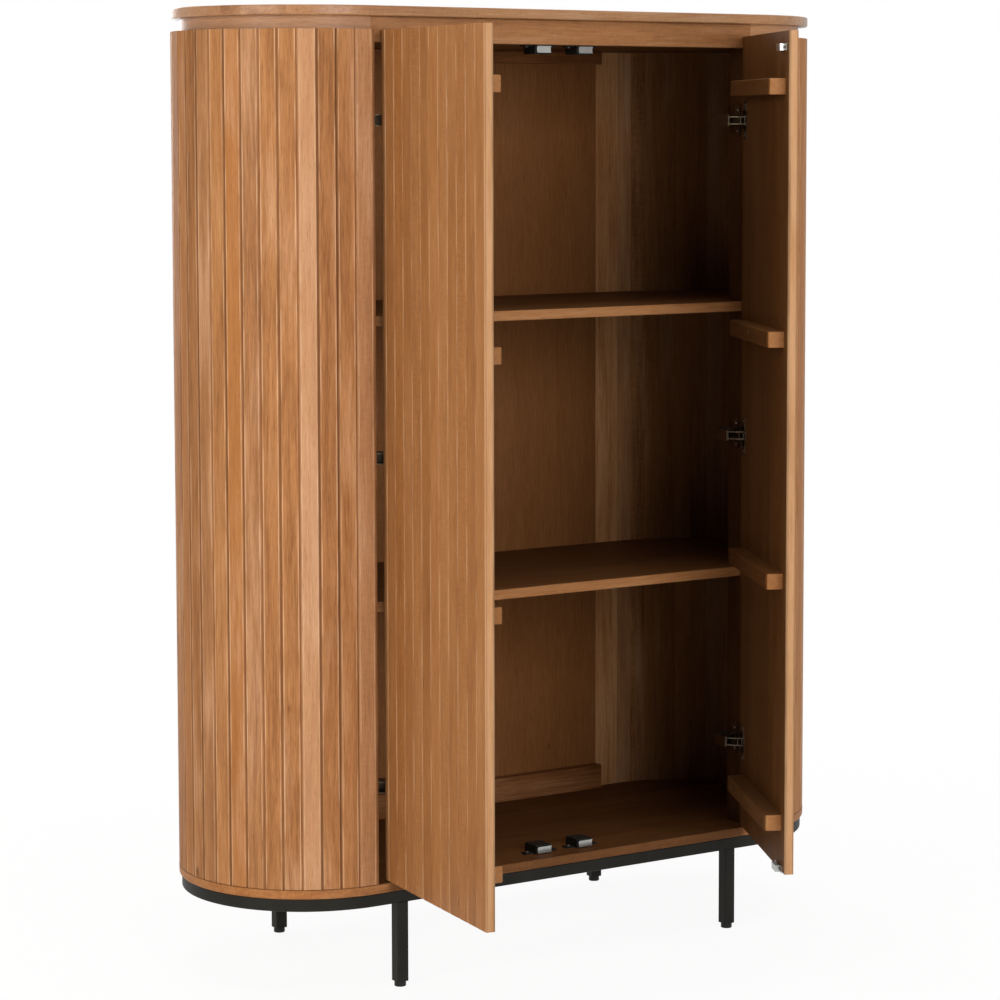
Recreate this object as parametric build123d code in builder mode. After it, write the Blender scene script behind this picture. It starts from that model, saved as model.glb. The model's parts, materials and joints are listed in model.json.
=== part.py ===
from build123d import *
import os
from math import atan2, cos, degrees, radians, sin, tan

# Cabinet with coopered half-round ends, two staved doors and a steel ring base.
# Millimetres. The origin is on the floor, in the middle of the plan. X runs along the
# front, -Y points to the person in front of it and +Z is up. The doors stand open.

os.makedirs("parts", exist_ok=True)

LEFT, RIGHT = -1, 1
FRONT, REAR = -1, 1

# Plan: two half circles joined by a straight front and a straight back
end_radius = 200.0
straight_length = 700.0
front_return = 3.0
front_return_round = 1.8
rear_stile_width = 44.0
frieze_seam_return = 5.0

# Heights, from the floor up
foot_height = 8.0
leg_length = 120.0
base_thickness = 15.0
compartment_height = 1236.0
sub_top_thickness = 18.0
frieze_reveal = 19.0
top_thickness = 15.0

# Coopered ends
staves_per_quarter = 11
stave_thickness = 14.3
groove_chamfer = 2.0
stave_fit = 0.2

# Frame boards
frieze_thickness = 18.0
top_edge_round = 2.5
base_edge_round = 4.0
back_panel_thickness = 9.0
panel_fit = 0.3
rear_bottom_rail_height = 40.0
rear_top_batten_height = 20.0
post_thickness = 15.0
post_depth = 44.0
post_inset = 9.0
post_stave_gap = 0.5
edge_ease = 1.0

# Shelves
shelf_thickness = 15.0
shelf_tops = (416.0, 838.0)
shelf_setback = 25.0
shelf_fit = 0.3

# Doors
door_thickness = 14.0
door_side_gap = 1.5
door_meeting_gap = 1.0
door_bottom_gap = 3.0
door_top_gap = 1.0
door_edge_round = 3.0
door_stave_count = 11
hinge_stave_width = 15.0
open_angles = {LEFT: 96.8, RIGHT: 64.0}
widest_angle = 105.0

# Battens across the backs of the doors, each with three screws in plug holes
batten_height = 24.0
batten_thickness = 25.5
batten_end_round = 5.0
batten_hinge_inset = 29.0
batten_free_inset = 25.0
batten_levels = (64.0, 428.0, 788.0, 1160.0)
batten_screw_staves = (1, 5, 9)
plug_hole_radius = 4.2
plug_hole_depth = 12.0

# Steel base
ring_tube = 19.0
ring_inset = 4.0
tube_wall = 1.5
tube_corner = 2.0
leg_spacing = 608.0
glide_radius = 8.75
glide_plug_length = 14.0
glide_fit = 0.2
glide_edge = 0.5
lug_width = 26.0
lug_reach = 24.0
lug_thickness = 3.0
lug_hole_radius = 2.5
lug_corner = 5.0
lug_spacing = 400.0

# Screws: head radius, head height, shank radius, length under the head
batten_screw = (3.6, 2.0, 1.9, 22.0)
frame_screw = (3.1, 1.7, 1.55, 11.0)
strike_screw = (2.6, 1.5, 1.3, 8.0)
ring_screw = (4.6, 2.6, 2.2, 13.0)
arm_screw = (3.4, 1.8, 1.9, 6.0)
screw_fit = 0.05
plate_hole_fit = 0.2

# Concealed hinges, by height above the cabinet floor. Every plan point below is
# (along, inward): along the closed door from its hinge edge, and inward from its outer
# face. As the door opens, each link turns by a fixed share of the door's angle.
hinge_levels = (138.0, 628.0, 1123.0)
arm_outer_pin = (38.36, 19.04)
cup_outer_pin = (13.94, 11.81)
outer_link_knee = (25.37, 12.28)
outer_link_share = -0.451
arm_inner_pin = (34.67, 40.93)
cup_inner_pin = (8.75, 11.48)
inner_link_knee = (17.32, 6.56)
inner_link_share = -0.269
link_thickness = 2.0
link_eye_radius = 2.1
link_plate_thickness = 2.0
link_spread = 6.6
inner_link_half = 4.0
pin_radius = 1.1
pin_fit = 0.05
free_pin_clearance = 0.2
free_pin_step = 21.0
stub_pin_gap = 0.3

# Hinge cups, let into the doors
cup_centre = 20.5
cup_hole_radius = 17.5
cup_hole_depth = 10.5
cup_fit = 0.1
cup_wall = 1.0
cup_flange = 1.2
cup_flange_radius = 19.5
cup_flange_start = 8.0
cup_wing = (60.0, 13.0)
cup_wing_centre = 26.5
cup_screw_spacing = 48.0
ear_gap = 0.6
ear_thickness = 1.2
ear_along = (5.4, 17.5)
ear_inward = (4.4, 13.6)

# Hinge arms and the plates that carry them on the posts
plate_thickness = 2.0
plate_bar = 5.0
plate_inward = 37.0
plate_wing = (15.0, 50.0)
plate_bar_inward = (28.0, 57.0)
plate_screw_spacing = 32.0
arm_sheet = 1.2
arm_gap = 0.7
arm_rear = 68.0
arm_screw_inward = 49.0
arm_bend = 58.0
arm_shoulder = 45.0
arm_nose = 16.6
arm_front = 42.4

# Magnetic touch catches on the floor and under the ceiling, and their strikes
catch_offset = 38.0
catch_rear = 58.0
catch_size = (28.0, 30.5, 13.5)
catch_wall = 1.4
catch_ears = (57.0, 12.0, 2.5)
catch_ear_inward = 40.0
catch_screw_spacing = 43.0
catch_travel = 4.0
tip_fit = 0.3
tip_front = 23.0
spring_room = 8.6
pole_plate = 1.5
magnet_setback = 1.2
strike_height = 10.0
strike_width = 26.0
strike_foot = 9.0
strike_steel = 1.5
strike_gap = 0.3

# Places worked out from the sizes above
end_centre = straight_length / 2
ring_bottom = foot_height + leg_length
ring_top = ring_bottom + ring_tube
floor_level = ring_top + base_thickness
ceiling_level = floor_level + compartment_height
stave_top = ceiling_level + sub_top_thickness
top_underside = stave_top + frieze_reveal
shelf_levels = [floor_level + height for height in shelf_tops]
hinge_heights = [floor_level + height for height in hinge_levels]
batten_bottoms = [floor_level + height for height in batten_levels]

stave_pitch = 90 / staves_per_quarter
half_pitch = radians(stave_pitch) / 2
stave_face = end_radius * cos(half_pitch)
stave_inner = stave_face - stave_thickness
frieze_radius = stave_inner - stave_fit
frieze_inner = frieze_radius - frieze_thickness
opening_half = end_centre - front_return
back_half = end_centre - rear_stile_width
frieze_seam = end_centre - frieze_seam_return

post_inner = opening_half - post_inset
post_front = -(stave_inner - post_stave_gap)
post_rear = post_front + post_depth

door_hinge_edge = opening_half - door_side_gap
door_width = door_hinge_edge - door_meeting_gap / 2
door_stave_width = (door_width - hinge_stave_width) / door_stave_count
door_bottom = floor_level + door_bottom_gap
door_height = stave_top - door_top_gap - door_bottom

ring_radius = end_radius - ring_inset
ring_inner = ring_radius - ring_tube
ring_centre = ring_radius - ring_tube / 2

post_along = door_hinge_edge - post_inner
arm_seat = post_along + plate_thickness + plate_bar
cheek_inner = link_spread + arm_gap
cheek_outer = cheek_inner + arm_sheet
ear_inner = link_spread + ear_gap
ear_outer = ear_inner + ear_thickness


def side_name(side):
    return "left" if side == LEFT else "right"


def save(label, pieces):
    """Write one node: a single piece, or several alike as separate solids."""
    node = Compound(children=list(pieces)) if isinstance(pieces, list) else pieces
    node.label = label
    export_step(node, f"parts/{label}.step")


def block(x_range, y_range, z_range, ease=0.0):
    """A board between pairs of coordinates, with its long edges eased."""
    lengths = [high - low for low, high in (x_range, y_range, z_range)]
    middle = (sum(x_range) / 2, sum(y_range) / 2, z_range[0])
    long_axis = (Axis.X, Axis.Y, Axis.Z)[lengths.index(max(lengths))]
    with BuildPart() as piece:
        with BuildSketch(Plane(origin=middle)):
            Rectangle(lengths[0], lengths[1])
        extrude(amount=lengths[2])
        if ease:
            chamfer(piece.edges().filter_by(long_axis), ease)
    return piece.part


def pan_screw(place, size, grow=0.0):
    """A pan-head screw. place lies under its head and faces out of the wood."""
    head_radius, head_height, shank_radius, length = size
    with BuildPart() as screw:
        with BuildSketch(place.offset(-length - grow)):
            Circle(shank_radius + grow)
        extrude(amount=length + grow)
        with BuildSketch(place):
            Circle(head_radius + grow)
        extrude(amount=head_height + grow)
        if not grow:
            chamfer(screw.edges().sort_by(Axis(place.origin, place.z_dir))[-1], head_height / 2)
    return screw.part


# Top board
with BuildPart() as top_board:
    with BuildSketch(Plane.XY.offset(top_underside)):
        SlotCenterToCenter(straight_length, 2 * end_radius)
    extrude(amount=top_thickness)
    fillet(top_board.edges().group_by(Axis.Z)[-1], top_edge_round)
    fillet(top_board.edges().group_by(Axis.Z)[0], top_edge_round)
save("top_board", top_board.part)


# Lugs in the ring, each with a screw up into the base board
def lug_places():
    """Level planes on the ring's inner face, x pointing inwards from the tube."""
    straight = [
        ((x, y * ring_inner, ring_top), (0, -y, 0))
        for y in (FRONT, REAR)
        for x in (-lug_spacing / 2, lug_spacing / 2)
    ]
    end_reach = end_centre + (ring_inner**2 - (lug_width / 2) ** 2) ** 0.5
    round_ends = [((side * end_reach, 0, ring_top), (-side, 0, 0)) for side in (LEFT, RIGHT)]
    return [Plane(origin=origin, x_dir=inward, z_dir=(0, 0, 1)) for origin, inward in straight + round_ends]


def lug_screw_place(place):
    """Under the lug and facing down, where the screw's head sits."""
    seat = place.origin + place.x_dir * (lug_reach / 2) - place.z_dir * lug_thickness
    return Plane(origin=seat, x_dir=place.x_dir, z_dir=-place.z_dir)


def ring_lug(place):
    with BuildPart() as lug:
        with BuildSketch(place.offset(-lug_thickness)) as outline:
            with Locations((lug_reach / 2, 0)):
                Rectangle(lug_reach, lug_width)
            fillet(outline.vertices().sort_by(Axis.X)[-2:], lug_corner)
            with Locations((lug_reach / 2, 0)):
                Circle(lug_hole_radius, mode=Mode.SUBTRACT)
        extrude(amount=lug_thickness)
    return lug.part


lug_screws = [lug_screw_place(place) for place in lug_places()]
save("ring_lugs", [ring_lug(place) for place in lug_places()])
save("ring_screws", [pan_screw(place, ring_screw) for place in lug_screws])


# Touch catches: a housing with two ears, two screws and a sliding magnetic tip
def catch_block(side, upper, width, inward, height, offset=0.0, lift=0.0):
    """A block at one catch. inward is measured from the door's outer face."""
    middle = side * catch_offset + offset
    y_range = [-end_radius + distance for distance in inward]
    if upper:
        z_range = (ceiling_level - lift - height, ceiling_level - lift)
    else:
        z_range = (floor_level + lift, floor_level + lift + height)
    return block((middle - width / 2, middle + width / 2), y_range, z_range)


def catch_screw_places(side, upper):
    """Planes on top of the two ears, facing out of the wood."""
    facing = -1 if upper else 1
    level = (ceiling_level if upper else floor_level) + facing * catch_ears[2]
    return [
        Plane(
            origin=(side * catch_offset + step * catch_screw_spacing / 2, -end_radius + catch_ear_inward, level),
            x_dir=(1, 0, 0),
            z_dir=(0, 0, facing),
        )
        for step in (-1, 1)
    ]


def catch_housing(side, upper):
    """Box open at the front, on a pair of ears."""
    width, depth, height = catch_size
    ear_half = catch_ears[1] / 2
    bore_width = width - 2 * catch_wall
    bore_height = height - 2 * catch_wall
    front = catch_rear - depth
    with BuildPart() as housing:
        add(catch_block(side, upper, width, (front, catch_rear), height))
        add(catch_block(
            side, upper, catch_ears[0], (catch_ear_inward - ear_half, catch_ear_inward + ear_half), catch_ears[2]
        ))
        add(
            catch_block(
                side, upper, bore_width, (front - catch_wall, catch_rear - catch_wall), bore_height, lift=catch_wall
            ),
            mode=Mode.SUBTRACT,
        )
        for place in catch_screw_places(side, upper):
            with BuildSketch(place):
                Circle(frame_screw[2] + plate_hole_fit)
            extrude(amount=-catch_ears[2], mode=Mode.SUBTRACT)
    return housing.part


def catch_tip(side, upper):
    """Two pole plates with the magnet set back between them."""
    width = catch_size[0] - 2 * catch_wall - 2 * tip_fit
    height = catch_size[2] - 2 * catch_wall - 2 * tip_fit
    low = catch_wall + tip_fit
    rear = catch_rear - catch_wall - spring_room - catch_travel
    plates = [
        catch_block(side, upper, width, (tip_front, rear), pole_plate, lift=lift)
        for lift in (low, low + height - pole_plate)
    ]
    magnet = catch_block(
        side, upper, width, (tip_front + magnet_setback, rear), height - 2 * pole_plate, lift=low + pole_plate
    )
    return plates + [magnet]


catches = [(side, upper) for upper in (False, True) for side in (LEFT, RIGHT)]
catch_screws = [place for side, upper in catches for place in catch_screw_places(side, upper)]
save("catch_housings", [catch_housing(side, upper) for side, upper in catches])
save("catch_screws", [pan_screw(place, frame_screw) for place in catch_screws])
for side, upper in catches:
    save(f"{'upper' if upper else 'lower'}_{side_name(side)}_catch_tip", catch_tip(side, upper))


# Base board, and the carcass top under the frieze
with BuildPart() as base_board:
    with BuildSketch(Plane.XY.offset(ring_top)):
        SlotCenterToCenter(straight_length, 2 * end_radius)
    extrude(amount=base_thickness)
    fillet(base_board.edges().group_by(Axis.Z)[0], base_edge_round)
    for place in lug_screws:
        add(pan_screw(place, ring_screw, screw_fit), mode=Mode.SUBTRACT)
    for place in catch_screws[:4]:
        add(pan_screw(place, frame_screw, screw_fit), mode=Mode.SUBTRACT)
save("base_board", base_board.part)

with BuildPart() as sub_top_board:
    with BuildSketch(Plane.XY.offset(ceiling_level)):
        SlotCenterToCenter(straight_length, 2 * (frieze_inner - stave_fit))
    extrude(amount=sub_top_thickness)
    for place in catch_screws[4:]:
        add(pan_screw(place, frame_screw, screw_fit), mode=Mode.SUBTRACT)
save("sub_top_board", sub_top_board.part)


# Frieze, set back under the top board
def frieze_end(side):
    """Half ring with a short straight run to each seam."""
    kept = end_centre + end_radius - frieze_seam
    with BuildPart() as frieze:
        with BuildSketch(Plane.XY.offset(ceiling_level)):
            SlotCenterToCenter(straight_length, 2 * frieze_radius)
            SlotCenterToCenter(straight_length, 2 * frieze_inner, mode=Mode.SUBTRACT)
            with Locations((side * (frieze_seam + kept / 2), 0)):
                Rectangle(kept, 2 * end_radius, mode=Mode.INTERSECT)
        extrude(amount=top_underside - ceiling_level)
    return frieze.part


for side in (LEFT, RIGHT):
    save(f"{side_name(side)}_frieze_end", frieze_end(side))

seam_range = (-frieze_seam, frieze_seam)
frieze_levels = (ceiling_level, top_underside)
save("front_frieze_rail", block(seam_range, (-frieze_radius, -frieze_inner), frieze_levels, edge_ease))
save("rear_frieze_rail", block(seam_range, (frieze_inner, frieze_radius), frieze_levels, edge_ease))


# Back: a panel between the rear stiles, with a rail and a batten inside it
back_range = (-back_half + panel_fit, back_half - panel_fit)
rail_range = (frieze_inner, frieze_radius)
bottom_rail_levels = (floor_level, floor_level + rear_bottom_rail_height)
top_batten_levels = (ceiling_level - rear_top_batten_height, ceiling_level)
save("back_panel", block(back_range, (stave_inner, stave_inner + back_panel_thickness), (floor_level, stave_top)))
save("rear_bottom_rail", block(back_range, rail_range, bottom_rail_levels, edge_ease))
save("rear_top_batten", block(back_range, rail_range, top_batten_levels, edge_ease))


def rear_stile(side):
    """Plank that closes the back beside the panel, grooved like the staves."""
    with BuildPart() as stile:
        with BuildSketch(Plane.XY.offset(floor_level)) as outline:
            with Locations((side * (back_half + end_centre) / 2, (stave_inner + end_radius) / 2)):
                Rectangle(rear_stile_width, end_radius - stave_inner)
            chamfer(outline.vertices().group_by(Axis.Y)[-1], groove_chamfer)
        extrude(amount=stave_top - floor_level)
    return stile.part


for side in (LEFT, RIGHT):
    save(f"{side_name(side)}_rear_stile", rear_stile(side))


# Coopered ends: flat-faced staves round each quarter circle
def end_stave(side, toward, index):
    """One upright stave. index counts from the middle of the end to the front or rear."""
    turn = radians((index + 0.5) * stave_pitch)
    outward = Vector(side * cos(turn), toward * sin(turn), 0)
    place = Plane(origin=(side * end_centre, 0, floor_level), x_dir=outward, z_dir=(0, 0, 1))
    at_door = toward == FRONT and index == staves_per_quarter - 1
    with BuildPart() as stave:
        with BuildSketch(place) as outline:
            with BuildLine():
                Polyline(
                    (stave_inner, -stave_inner * tan(half_pitch)),
                    (stave_face, -stave_face * tan(half_pitch)),
                    (stave_face, stave_face * tan(half_pitch)),
                    (stave_inner, stave_inner * tan(half_pitch)),
                    close=True,
                )
            make_face()
            corners = outline.vertices().sort_by(Axis.X)[-2:].sort_by(Axis.Y)
            near_corner = corners[0] if side * toward > 0 else corners[-1]
            chamfer([near_corner] if at_door else corners, groove_chamfer)
        extrude(amount=stave_top - floor_level)
        if at_door:
            middle = (side * (end_centre - front_return / 2), -(end_radius + stave_inner) / 2, floor_level)
            with BuildSketch(Plane(origin=middle)) as straight:
                Rectangle(front_return, end_radius - stave_inner)
                front_corners = straight.vertices().group_by(Axis.Y)[0].sort_by(Axis.X)
                fillet(front_corners[-1] if side == LEFT else front_corners[0], front_return_round)
            extrude(amount=stave_top - floor_level)
    return stave.part


for side in (LEFT, RIGHT):
    for toward, quarter in ((FRONT, "front"), (REAR, "rear")):
        staves = [end_stave(side, toward, index) for index in range(staves_per_quarter)]
        save(f"{side_name(side)}_{quarter}_staves", staves)


# Plan positions. The same numbers serve both doors, mirrored.
def to_plan(side, point):
    """World position of a plan point of the closed door."""
    return Vector(side * (door_hinge_edge - point[0]), -end_radius + point[1], 0)


def turned(point, centre, angle):
    """A plan point swung about another, in the direction in which the door opens."""
    swing = radians(-angle)
    along, inward = point[0] - centre[0], point[1] - centre[1]
    return (
        centre[0] + along * cos(swing) - inward * sin(swing),
        centre[1] + along * sin(swing) + inward * cos(swing),
    )


def moved_by_door(point, angle):
    """Where a plan point of the door is when the door is open by this angle."""
    about_cup = turned(point, cup_outer_pin, (1 - outer_link_share) * angle)
    return turned(about_cup, arm_outer_pin, outer_link_share * angle)


def seen_from_door(point, angle):
    """The reverse: the door's own coordinates of a plan point."""
    about_arm = turned(point, arm_outer_pin, -outer_link_share * angle)
    return turned(about_arm, cup_outer_pin, (outer_link_share - 1) * angle)


def door_plan(side, height):
    """Level plane at the door's outer hinge corner, x along the door."""
    angle = radians(open_angles[side])
    along = Vector(-side * cos(angle), -sin(angle), 0)
    origin = to_plan(side, moved_by_door((0, 0), open_angles[side]))
    return Plane(origin=origin + Vector(0, 0, height), x_dir=along, z_dir=(0, 0, 1))


def in_door(side, point):
    """Coordinates on door_plan of a point given as (along, inward)."""
    return (point[0], -side * point[1])


def door_face(side, inward):
    """Plane parallel to the door, x up and z pointing into the cabinet."""
    level = door_plan(side, 0)
    into_cabinet = level.y_dir * -side
    return Plane(origin=level.origin + into_cabinet * inward, x_dir=(0, 0, 1), z_dir=into_cabinet)


def on_face(side, height, along):
    """Coordinates on door_face."""
    return (height, -side * along)


def door_place(side, inward, height, along):
    """A plane at one point of the door, facing into the cabinet."""
    face = door_face(side, inward)
    centre = face.from_local_coords(Vector(*on_face(side, height, along), 0))
    return Plane(origin=centre, x_dir=face.x_dir, z_dir=face.z_dir)


# Doors: staves, battens, screws
def stave_middle(index):
    """Distance of a full stave's middle from the door's hinge edge."""
    return hinge_stave_width + (index + 0.5) * door_stave_width


def strike_feet():
    """The strike's two screws, by distance from the door's hinge edge."""
    middle = door_hinge_edge - catch_offset
    reach = strike_width / 2 + strike_foot / 2
    return (middle - reach, middle + reach)


def strike_heights():
    """Middles of the lower and the upper strike, level with the catches."""
    half_catch = catch_size[2] / 2
    return (floor_level + half_catch, ceiling_level - half_catch)


def screw_points():
    """Screws in the door's inner face: height, along, start from the face, size."""
    batten_start = batten_thickness - plug_hole_depth
    points = [
        (bottom + batten_height / 2, stave_middle(index), batten_start, batten_screw)
        for bottom in batten_bottoms
        for index in batten_screw_staves
    ]
    points += [
        (height + step * cup_screw_spacing / 2, cup_wing_centre, cup_flange, frame_screw)
        for height in hinge_heights
        for step in (-1, 1)
    ]
    points += [
        (height, along, strike_steel, strike_screw)
        for height in strike_heights()
        for along in strike_feet()
    ]
    return points


def door_bores():
    """Round holes in the inner face: height, along, radius, depth."""
    bores = [(height, cup_centre, cup_hole_radius, cup_hole_depth) for height in hinge_heights]
    for height, along, start, size in screw_points():
        bores.append((height, along, size[2] + screw_fit, size[3] - start + screw_fit))
    return bores


def door_stave(side, start, end):
    """One upright stave between two distances from the hinge edge."""
    at_hinge = start == 0
    at_free_edge = end > door_width - door_stave_width / 2
    with BuildPart() as stave:
        with BuildSketch(door_plan(side, door_bottom)) as outline:
            with Locations(in_door(side, ((start + end) / 2, door_thickness / 2))):
                Rectangle(end - start, door_thickness)
            corners = outline.vertices().group_by(Axis.X)
            hinge_corners, free_corners = corners[0], corners[-1]
            outer_first = side == RIGHT
            hinge_outer = hinge_corners.sort_by(Axis.Y)[-1 if outer_first else 0]
            free_outer = free_corners.sort_by(Axis.Y)[-1 if outer_first else 0]
            if at_hinge:
                chamfer(free_outer, groove_chamfer)
                fillet(outline.vertices().group_by(Axis.X)[0], door_edge_round)
            elif at_free_edge:
                chamfer(hinge_outer, groove_chamfer)
                fillet(outline.vertices().group_by(Axis.X)[-1], groove_chamfer)
            else:
                chamfer([hinge_outer, free_outer], groove_chamfer)
        extrude(amount=door_height)
        for height, along, radius, depth in door_bores():
            if start - radius < along < end + radius:
                with BuildSketch(door_face(side, door_thickness)):
                    with Locations(on_face(side, height, along)):
                        Circle(radius)
                extrude(amount=-depth, mode=Mode.SUBTRACT)
    return stave.part


def door_batten(side, bottom):
    """Bar across the door's back, with rounded ends and three plug holes."""
    run = (batten_hinge_inset, door_width - batten_free_inset)
    outer = door_thickness + batten_thickness
    with BuildPart() as batten:
        with BuildSketch(door_plan(side, bottom)) as outline:
            with Locations(in_door(side, (sum(run) / 2, (door_thickness + outer) / 2))):
                Rectangle(run[1] - run[0], batten_thickness)
            rows = outline.vertices().group_by(Axis.Y)
            fillet(rows[0] if side == RIGHT else rows[-1], batten_end_round)
        extrude(amount=batten_height)
        chamfer(batten.faces().sort_by(Axis(batten.part.center(), door_face(side, 0).z_dir))[-1].edges(), edge_ease)
        for radius, depth in ((plug_hole_radius, plug_hole_depth), (batten_screw[2] + screw_fit, batten_thickness)):
            with BuildSketch(door_face(side, outer)):
                for index in batten_screw_staves:
                    with Locations(on_face(side, bottom + batten_height / 2, stave_middle(index))):
                        Circle(radius)
            extrude(amount=-depth, mode=Mode.SUBTRACT)
    return batten.part


def strike(side, height):
    """Raised steel plate on two feet, for a catch's magnet to hold."""
    middle = door_hinge_edge - catch_offset
    face = tip_front - strike_gap
    half_top = strike_width / 2
    half_all = half_top + strike_foot
    with BuildPart() as bracket:
        with BuildSketch(door_plan(side, height - strike_height / 2)):
            with Locations(in_door(side, (middle, door_thickness + strike_steel / 2))):
                Rectangle(2 * half_all, strike_steel)
            with Locations(in_door(side, (middle, (door_thickness + face) / 2))):
                Rectangle(2 * half_top, face - door_thickness)
            with Locations(in_door(side, (middle, (door_thickness + face - strike_steel) / 2))):
                Rectangle(2 * (half_top - strike_steel), face - door_thickness - strike_steel, mode=Mode.SUBTRACT)
        extrude(amount=strike_height)
        with BuildSketch(door_face(side, door_thickness)):
            for along in strike_feet():
                with Locations(on_face(side, height, along)):
                    Circle(strike_screw[2] + plate_hole_fit)
        extrude(amount=strike_steel, mode=Mode.SUBTRACT)
    return bracket.part


def door_screws(side, wanted):
    """The door's screws of one size."""
    return [
        pan_screw(door_place(side, door_thickness + start, height, along), size)
        for height, along, start, size in screw_points()
        if size == wanted
    ]


for side in (LEFT, RIGHT):
    edges = [0] + [hinge_stave_width + index * door_stave_width for index in range(door_stave_count + 1)]
    save(f"{side_name(side)}_door_staves", [door_stave(side, *pair) for pair in zip(edges, edges[1:])])
    save(f"{side_name(side)}_door_battens", [door_batten(side, bottom) for bottom in batten_bottoms])
    save(f"{side_name(side)}_batten_screws", door_screws(side, batten_screw))
    save(f"{side_name(side)}_strikes", [strike(side, height) for height in strike_heights()])
    save(f"{side_name(side)}_strike_screws", door_screws(side, strike_screw))
    save(f"{side_name(side)}_cup_screws", door_screws(side, frame_screw))


# Hinge links and their pins
def bar_between(start, end, half_width, mode=Mode.ADD):
    """Round-ended bar from one place to another, on the active sketch."""
    run = end - start
    middle = (start + end) / 2
    with Locations(Location((middle.X, middle.Y, 0), (0, 0, degrees(atan2(run.Y, run.X))))):
        SlotCenterToCenter(run.length, 2 * half_width, mode=mode)


def pin(centre, bottom, top):
    with BuildPart() as rod:
        with BuildSketch(Plane(origin=(centre.X, centre.Y, bottom))):
            Circle(pin_radius)
        extrude(amount=top - bottom)
    return rod.part


def link_bar(places, bottom, top):
    """Bent bar with an eye and a pin hole at each end."""
    with BuildPart() as bar:
        with BuildSketch(Plane.XY.offset(bottom)):
            for start, end in zip(places, places[1:]):
                bar_between(start, end, link_thickness / 2)
            for centre in (places[0], places[-1]):
                with Locations((centre.X, centre.Y)):
                    Circle(link_eye_radius)
                    Circle(pin_radius + pin_fit, mode=Mode.SUBTRACT)
        extrude(amount=top - bottom)
    return bar.part


def outer_link(side, height):
    """A pair of bent plates from the arm's front pin to the cup's outer pin."""
    angle = outer_link_share * open_angles[side]
    points = [turned(point, arm_outer_pin, angle) for point in (outer_link_knee, cup_outer_pin)]
    places = [to_plan(side, point) for point in [arm_outer_pin] + points]
    inner = link_spread - link_plate_thickness
    return [
        link_bar(places, height - link_spread, height - inner),
        link_bar(places, height + inner, height + link_spread),
    ]


def inner_link(side, height):
    """A bent bar from the arm's rear pin, with its own pin in the cup's ears."""
    angle = inner_link_share * open_angles[side]
    points = [turned(point, arm_inner_pin, angle) for point in (inner_link_knee, cup_inner_pin)]
    places = [to_plan(side, point) for point in [arm_inner_pin] + points]
    return [
        link_bar(places, height - inner_link_half, height + inner_link_half),
        pin(places[-1], height - ear_outer, height + ear_outer),
    ]


def free_pin_path(side):
    """Where the inner link's pin runs in the cup's ears, as the door's coordinates."""
    steps = round(widest_angle / free_pin_step)
    angles = [widest_angle * step / steps for step in range(steps + 1)]
    places = [seen_from_door(turned(cup_inner_pin, arm_inner_pin, inner_link_share * a), a) for a in angles]
    return [Vector(*in_door(side, point), 0) for point in places]


def hinge_cup(side, height):
    """Pressed cup: bowl, screw flange, and two ears that hold the links' pins."""
    face = door_face(side, door_thickness)
    centre = on_face(side, height, cup_centre)
    floor_depth = cup_hole_depth - cup_fit
    with BuildPart() as cup:
        with BuildSketch(face):
            with Locations(centre):
                Circle(cup_flange_radius)
            with Locations(on_face(side, height, cup_wing_centre)):
                RectangleRounded(*cup_wing, cup_wing[1] / 3)
            with Locations(on_face(side, height, cup_flange_start - cup_centre)):
                Rectangle(2 * cup_flange_radius, 2 * cup_centre, mode=Mode.SUBTRACT)
            for step in (-1, 1):
                with Locations(on_face(side, height + step * cup_screw_spacing / 2, cup_wing_centre)):
                    Circle(frame_screw[2] + plate_hole_fit, mode=Mode.SUBTRACT)
        extrude(amount=cup_flange)
        with BuildSketch(face):
            with Locations(centre):
                Circle(cup_hole_radius - cup_fit)
        extrude(amount=-floor_depth)
        with BuildSketch(face.offset(cup_flange)):
            with Locations(centre):
                Circle(cup_hole_radius - cup_fit - cup_wall)
        extrude(amount=-(cup_flange + floor_depth - cup_wall), mode=Mode.SUBTRACT)
        for bottom in (-ear_outer, ear_inner):
            with BuildSketch(door_plan(side, height + bottom)):
                with Locations(in_door(side, (sum(ear_along) / 2, sum(ear_inward) / 2))):
                    Rectangle(ear_along[1] - ear_along[0], ear_inward[1] - ear_inward[0])
                with Locations(in_door(side, cup_outer_pin)):
                    Circle(pin_radius + pin_fit, mode=Mode.SUBTRACT)
                path = free_pin_path(side)
                for start, end in zip(path, path[1:]):
                    bar_between(start, end, pin_radius + free_pin_clearance, Mode.SUBTRACT)
            extrude(amount=ear_thickness)
    return cup.part


def hinge_cup_set(side, height):
    """The cup with the outer link's two stub pins, which leave the inner link room."""
    centre = door_plan(side, 0).from_local_coords(Vector(*in_door(side, cup_outer_pin), 0))
    stub = inner_link_half + stub_pin_gap
    return [
        hinge_cup(side, height),
        pin(centre, height - ear_outer, height - stub),
        pin(centre, height + stub, height + ear_outer),
    ]


def plate_place(side, height, inward, along):
    """Upright plane facing the cabinet's middle, x pointing into the cabinet."""
    origin = to_plan(side, (along, inward)) + Vector(0, 0, height)
    return Plane(origin=origin, x_dir=(0, 1, 0), z_dir=(-side, 0, 0))


def plate_screw_places(side):
    return [
        plate_place(side, height + step * plate_screw_spacing / 2, plate_inward, post_along + plate_thickness)
        for height in hinge_heights
        for step in (-1, 1)
    ]


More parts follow.
